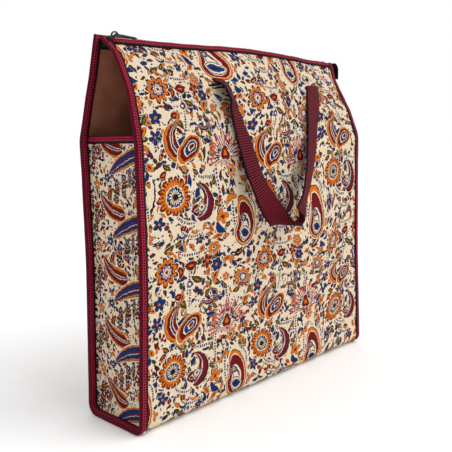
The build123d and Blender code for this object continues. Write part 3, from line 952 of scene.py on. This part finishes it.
def endLayer(name, side, inset, wall, material, swollen):
    span = 2 * half - 2 * inset
    rise = endWall["height"] - bag["stand"] - inset
    near, acrossSteps, upSteps = endWall["stops"], endWall["across"], endWall["up"]
    acrossStops = (near + [near[-1] + (span - 2 * near[-1]) * i / acrossSteps for i in range(1, acrossSteps)]
                   + [span - stop for stop in reversed(near)])
    upStops = near + [near[-1] + (rise - near[-1]) * i / upSteps for i in range(1, upSteps + 1)]

    def place(column, row):
        point = endPanelPlace(side, inset, wall, acrossStops[column], upStops[row], swollen)
        return settle(point), (acrossStops[column] - span / 2, upStops[row])

    grid = laidGrid(len(acrossStops) - 1, len(upStops) - 1, place, lambda middle: Vector((side, 0, 0)))
    return newMesh(name, grid, material), (span + endWall["seam"][0], rise + endWall["seam"][1])


for side, word in ((-1, "left"), (1, "right")):
    panel, flat = endLayer(f"{word}EndPanel", side, endWall["inset"], endWall["wall"], borderCloth, 1.0)
    dress(panel, endWall["thickness"], -1, f"{word}_end_panel")
    inner, flat = endLayer(f"{word}EndLining", side, endWall["liningInset"], endWall["wall"] + endWall["liningGap"],
                           liningCloth, 0.0)
    dress(inner, endWall["liningThickness"], -1, f"{word}_end_lining")
print("end panels made")


# Binding tape. A stack is the thickness of the cloths that it is folded over.
binding = {
    "thickness": 0.0008,
    "crown": 0.0004,
    "wave": 0.0002,
    "rimWidth": 0.0080,
    "rimStack": 0.0037,
    "rimThinning": 0.0014,     # above the end panels
    "topWidth": 0.0072,
    "topStack": 0.0021,
    "topSteps": 90,
    "topShort": 0.0076,
    "endWidth": 0.0076,
    "endStack": 0.0033,
    "endSteps": 24,
    "endReach": 0.0405,
}


# Section of a folded tape as (from the cloth's edge, depth from its outer face).
def foldedTape(width, stack):
    crown = binding["crown"]
    outside = [(width, -0.00045), (width * 0.72, -0.00045 - crown * 0.6), (width * 0.4, -0.00045 - crown),
               (width * 0.16, -0.0008), (0.0007, -0.0002)]
    fold = [(0.0003, stack * 0.25), (0.00025, stack * 0.5), (0.0003, stack * 0.75)]
    return outside + fold + [(e, stack - n) for e, n in reversed(outside)]


# How far a point of the section is from the nearer edge of the tape, round the fold.
def tapeMap(section, index):
    run = [0.0]
    for (a, b), (c, d) in zip(section, section[1:]):
        run.append(run[-1] + math.hypot(c - a, d - b))
    return min(run[index], run[-1] - run[index])


# place(column, row) lays the points of the section, one row after another along the tape.
def bindingTape(name, rows, place, outward, replaced):
    columns = len(foldedTape(0, 0)) - 1
    piece = newMesh(name, laidGrid(columns, rows, place, lambda middle: Vector(outward)), bindingCloth)
    dress(piece, binding["thickness"], 0, replaced)


def rimBinding(side, word):
    def place(column, row):
        y, z, ny, nz, run = outline[row]
        thinning = binding["rimThinning"] * smooth(z, endWall["height"] - 0.002, endWall["height"] + 0.008)
        section = foldedTape(binding["rimWidth"], binding["rimStack"] - thinning)
        e, n = section[column]
        n += binding["wave"] * noise.noise((run * 60, side * 3.0, 1.0))
        point = Vector((0, y - ny * n, z - nz * n))
        point.x = side * (halfWidth(point.z) - e)
        return settle(point), (run, tapeMap(section, column))

    bindingTape(f"{word}RimBinding", len(outline) - 1, place, (side, 0, 0), f"{word}_rim_binding")


def topBinding(word, sign):
    y0, z0, ny, nz, _ = outline[0 if sign < 0 else -1]
    inner = outline[6 if sign < 0 else -7]
    down = Vector((inner[0] - y0, inner[1] - z0)).normalized()
    out = Vector((ny, nz))
    section = foldedTape(binding["topWidth"], binding["topStack"])
    length = halfWidth(bag["height"]) - binding["topShort"]

    def place(column, row):
        e, n = section[column]
        x = (row / binding["topSteps"] * 2 - 1) * length
        spot = Vector((y0, z0 - 0.0002)) + down * e - out * n
        return settle((x, spot.x, spot.y)), (x, tapeMap(section, column))

    bindingTape(f"{word}TopBinding", binding["topSteps"], place, (0, sign, 0.35), f"{word}_top_binding")


def endTopBinding(side, word):
    section = foldedTape(binding["endWidth"], binding["endStack"])
    top = endWall["height"] + 0.0006

    def place(column, row):
        e, n = section[column]
        y = (row / binding["endSteps"] * 2 - 1) * binding["endReach"]
        z = top - e
        point = endPanelPlace(side, endWall["inset"], endWall["wall"] - 0.0004, y + half - endWall["inset"],
                              z - bag["stand"] - endWall["inset"], 0.75)
        point.x -= side * n
        point.z = z
        return settle(point), (y, tapeMap(section, column))

    bindingTape(f"{word}EndTopBinding", binding["endSteps"], place, (side, 0, 0), f"{word}_end_top_binding")


for side, word in ((-1, "left"), (1, "right")):
    rimBinding(side, word)
topBinding("front", -1)
topBinding("back", 1)
endTopBinding(-1, "left")
endTopBinding(1, "right")
print("bindings made")


# Handles
handle = {
    "spacing": 0.168,
    "offset": 0.036,
    "rootHeight": 0.357,
    "rootLift": 0.0015,
    "drop": 0.164,
    "reach": 0.069,
    "shift": 0.0244,
    "width": 0.025,
    "thickness": 0.0017,
    "bow": 0.0006,
    "leaveAngle": 6.1,
    "leaveLength": 0.086,
    "flare": 0.734,
    "narrowing": 0.416,
    "steps": 120,
    "columns": 8,
    # turn of the webbing towards the right end of the bag, in degrees, down each leg
    "leftTurn": [(0, -12), (0.05, -30), (0.09, -34), (0.14, -24), (0.2, -16), (0.3, -5), (0.5, 0), (0.75, 22),
                 (1, 90)],
    "rightTurn": [(0, 2), (0.3, 14), (0.5, 21), (0.65, 24), (0.77, 10), (0.84, 22), (0.92, 78), (1, 90)],
    # how far each leg strays along the bag, in millimetres
    "leftStray": [(0, -8.0), (0.04, -6.0), (0.14, -2.5), (0.2, -1.0), (0.5, -5.8), (0.8, -3.0), (1, 0)],
    "rightStray": [(0.05, 0), (0.2, -2.5), (0.6, -3.5), (0.9, 0)],
    # how far the left leg stands out from its slit before it drops
    "standOut": [(0, 1.2), (0.06, 8.0), (0.10, 7.0), (0.16, 2.5), (0.22, 0)],
    "standUp": [(0, 0), (0.04, 2.0), (0.08, 1.2), (0.14, 0)],
    # the first stretch below the slit, where the real webbing bends when a handle swings
    "bendStart": -0.002,
    "bendEnd": 0.027,
}


def slopeAt(sign):
    top = bag["frontTop"] if sign < 0 else bag["backTop"]
    return (top - sign * half) / (bag["height"] - bag["shoulder"]) * -sign


def legPoint(sign, end, share):
    def stray(name):
        return curveAt(handle[name], share) / 1000

    lean = math.atan(slopeAt(sign))
    lift = handle["rootLift"]
    rootY = sign * (half - slopeAt(sign) * (handle["rootHeight"] - bag["shoulder"])) + sign * lift * math.cos(lean)
    rootZ = handle["rootHeight"] + lift * math.sin(lean)
    angle = lean + math.radians(handle["leaveAngle"])
    middle = handle["offset"] - handle["shift"]
    spread = end * handle["spacing"] / 2
    bottom = handle["rootHeight"] - handle["drop"]
    points = [
        Vector((handle["offset"] + spread, rootY, rootZ)),
        Vector((middle + handle["flare"] * spread, rootY + sign * handle["leaveLength"] * math.sin(angle),
                rootZ - handle["leaveLength"] * math.cos(angle))),
        Vector((middle + handle["narrowing"] * spread, sign * handle["reach"], bottom)),
        Vector((middle, sign * handle["reach"], bottom)),
    ]
    s, r = share, 1 - share
    swing = Vector((stray("leftStray" if end < 0 else "rightStray"), 0, 0))
    if end < 0:
        swing += Vector((0, sign * stray("standOut"), stray("standUp")))
    return swing + points[0] * r ** 3 + points[1] * 3 * r * r * s + points[2] * 3 * r * s * s + points[3] * s ** 3


# Middle of the strap, the way that it runs and the way across it. Along runs from 0 to 2.
def strapFrame(sign, along):
    share = min(along, 2 - along)
    end = -1 if along <= 1 else 1
    run = legPoint(sign, end, min(share + 0.01, 1)) - legPoint(sign, end, max(share - 0.01, 0))
    forward = (run * -end).normalized() if share < 1 else Vector((1, 0, 0))
    turn = math.radians(curveAt(handle["leftTurn" if end < 0 else "rightTurn"], share))
    across = Vector((end * math.cos(turn), -sign * math.sin(turn), 0))
    across = (across - forward * across.dot(forward) * min(share / 0.1, 1)).normalized()
    return legPoint(sign, end, share), forward, across


def strap(word, sign):
    steps, columns = handle["steps"], handle["columns"]
    runs = [0.0]
    centres = [strapFrame(sign, 2 * i / steps)[0] for i in range(steps + 1)]
    for a, b in zip(centres, centres[1:]):
        runs.append(runs[-1] + (b - a).length)

    def place(column, row):
        centre, forward, across = strapFrame(sign, 2 * row / steps)
        share = column / columns
        bow = forward.cross(across) * (handle["bow"] * (1 - (2 * share - 1) ** 2))
        return centre + across * (share - 0.5) * handle["width"] - bow, (runs[row], share * handle["width"])

    grid = laidGrid(columns, steps, place, lambda middle: Vector((0, sign, -0.2)))
    piece = newMesh(f"{word}Handle", grid, strapCloth, None)
    root = legPoint(sign, 1, 0)
    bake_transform(piece)
    dress(piece, handle["thickness"], 0, f"{word}_handle")


strap("front", -1)
strap("back", 1)
print("handles made")


# Room, light and camera
studio = {
    "sky": 0.74,
    "sun": 1.9,
    "sunAim": (-0.42, 0.62, -0.66),
    "sunSpread": 60,
    "fill": 2.0,
    "fillPlace": (-1.5, -0.2, 0.7),
    "fillAim": (1.5, 0.2, -0.5),
    "floorSize": 6.0,
    "floorDrop": -0.0002,
}


def floorLook(wire, surface):
    grain = wire.objectPlace().noise(30.0)
    finish(surface, grain.fade(0.0, shade(252, 252, 252), 1.0, shade(255, 255, 255)), 0.6)


bm = bmesh.new()
bmesh.ops.create_grid(bm, x_segments=4, y_segments=4, size=studio["floorSize"])
bmesh.ops.translate(bm, verts=bm.verts, vec=(0, 0, studio["floorDrop"]))
floor = newMesh("floor", bm, newMaterial("paleFloor", floorLook), None)

world = bpy.data.worlds.new("studio")
bpy.context.scene.world = world
world.use_nodes = True
sky = world.node_tree
sky.nodes.clear()
worldOut = sky.nodes.new("ShaderNodeOutputWorld")
skyWire = Wire(sky, None)
rays = skyWire.node("LightPath")
soft = skyWire.node("Background", Color=grey(1.0), Strength=studio["sky"])
plainWhite = skyWire.node("Background", Color=grey(1.0), Strength=1.0)
# camera, glossy and transmission rays see plain white
seen = skyWire.out(rays, 0)
for ray in (3, 6):
    seen = seen.maths("MAXIMUM", seen, skyWire.out(rays, ray))
mixed = skyWire.node("MixShader", None, seen, skyWire.out(soft), skyWire.out(plainWhite))
sky.links.new(mixed.outputs[0], worldOut.inputs[0])


def lamp(name, kind, power, aim, place=(0, 0, 0), **settings):
    light = bpy.data.lights.new(name, kind)
    light.energy = power
    for key, value in settings.items():
        setattr(light, key, value)
    lampObject = linked(name, light)
    lampObject.location = place
    lampObject.rotation_euler = Vector(aim).to_track_quat("-Z", "Y").to_euler()


lamp("softSun", "SUN", studio["sun"], studio["sunAim"], angle=math.radians(studio["sunSpread"]))
lamp("fillSoftbox", "AREA", studio["fill"], studio["fillAim"], studio["fillPlace"], shape="SQUARE", size=1.0)
camera = {
    "place": (-0.5735, -0.5235, 0.2949),
    "lens": 51.08,
    "yaw": 46.30,
    "pitch": 7.92,
    "roll": -1.08,
}
yaw, pitch, roll = (math.radians(camera[k]) for k in ("yaw", "pitch", "roll"))
look = Vector((math.sin(yaw) * math.cos(pitch), math.cos(yaw) * math.cos(pitch), -math.sin(pitch)))
right = Vector((math.cos(yaw), -math.sin(yaw), 0))
up = right.cross(look)
rolledRight = right * math.cos(roll) + up * math.sin(roll)
rolledUp = up * math.cos(roll) - right * math.sin(roll)
cameraData = bpy.data.cameras.new("photoView")
cameraData.lens = camera["lens"]
cameraData.sensor_width = 36.0
cameraData.clip_start = 0.01
cameraObject = linked("photoView", cameraData)
cameraObject.matrix_world = Matrix([
    (rolledRight[i], rolledUp[i], -look[i], camera["place"][i]) for i in range(3)] + [(0, 0, 0, 1)])
bpy.context.scene.camera = cameraObject
bpy.context.scene.view_settings.view_transform = "Standard"
print("room, light and camera made")
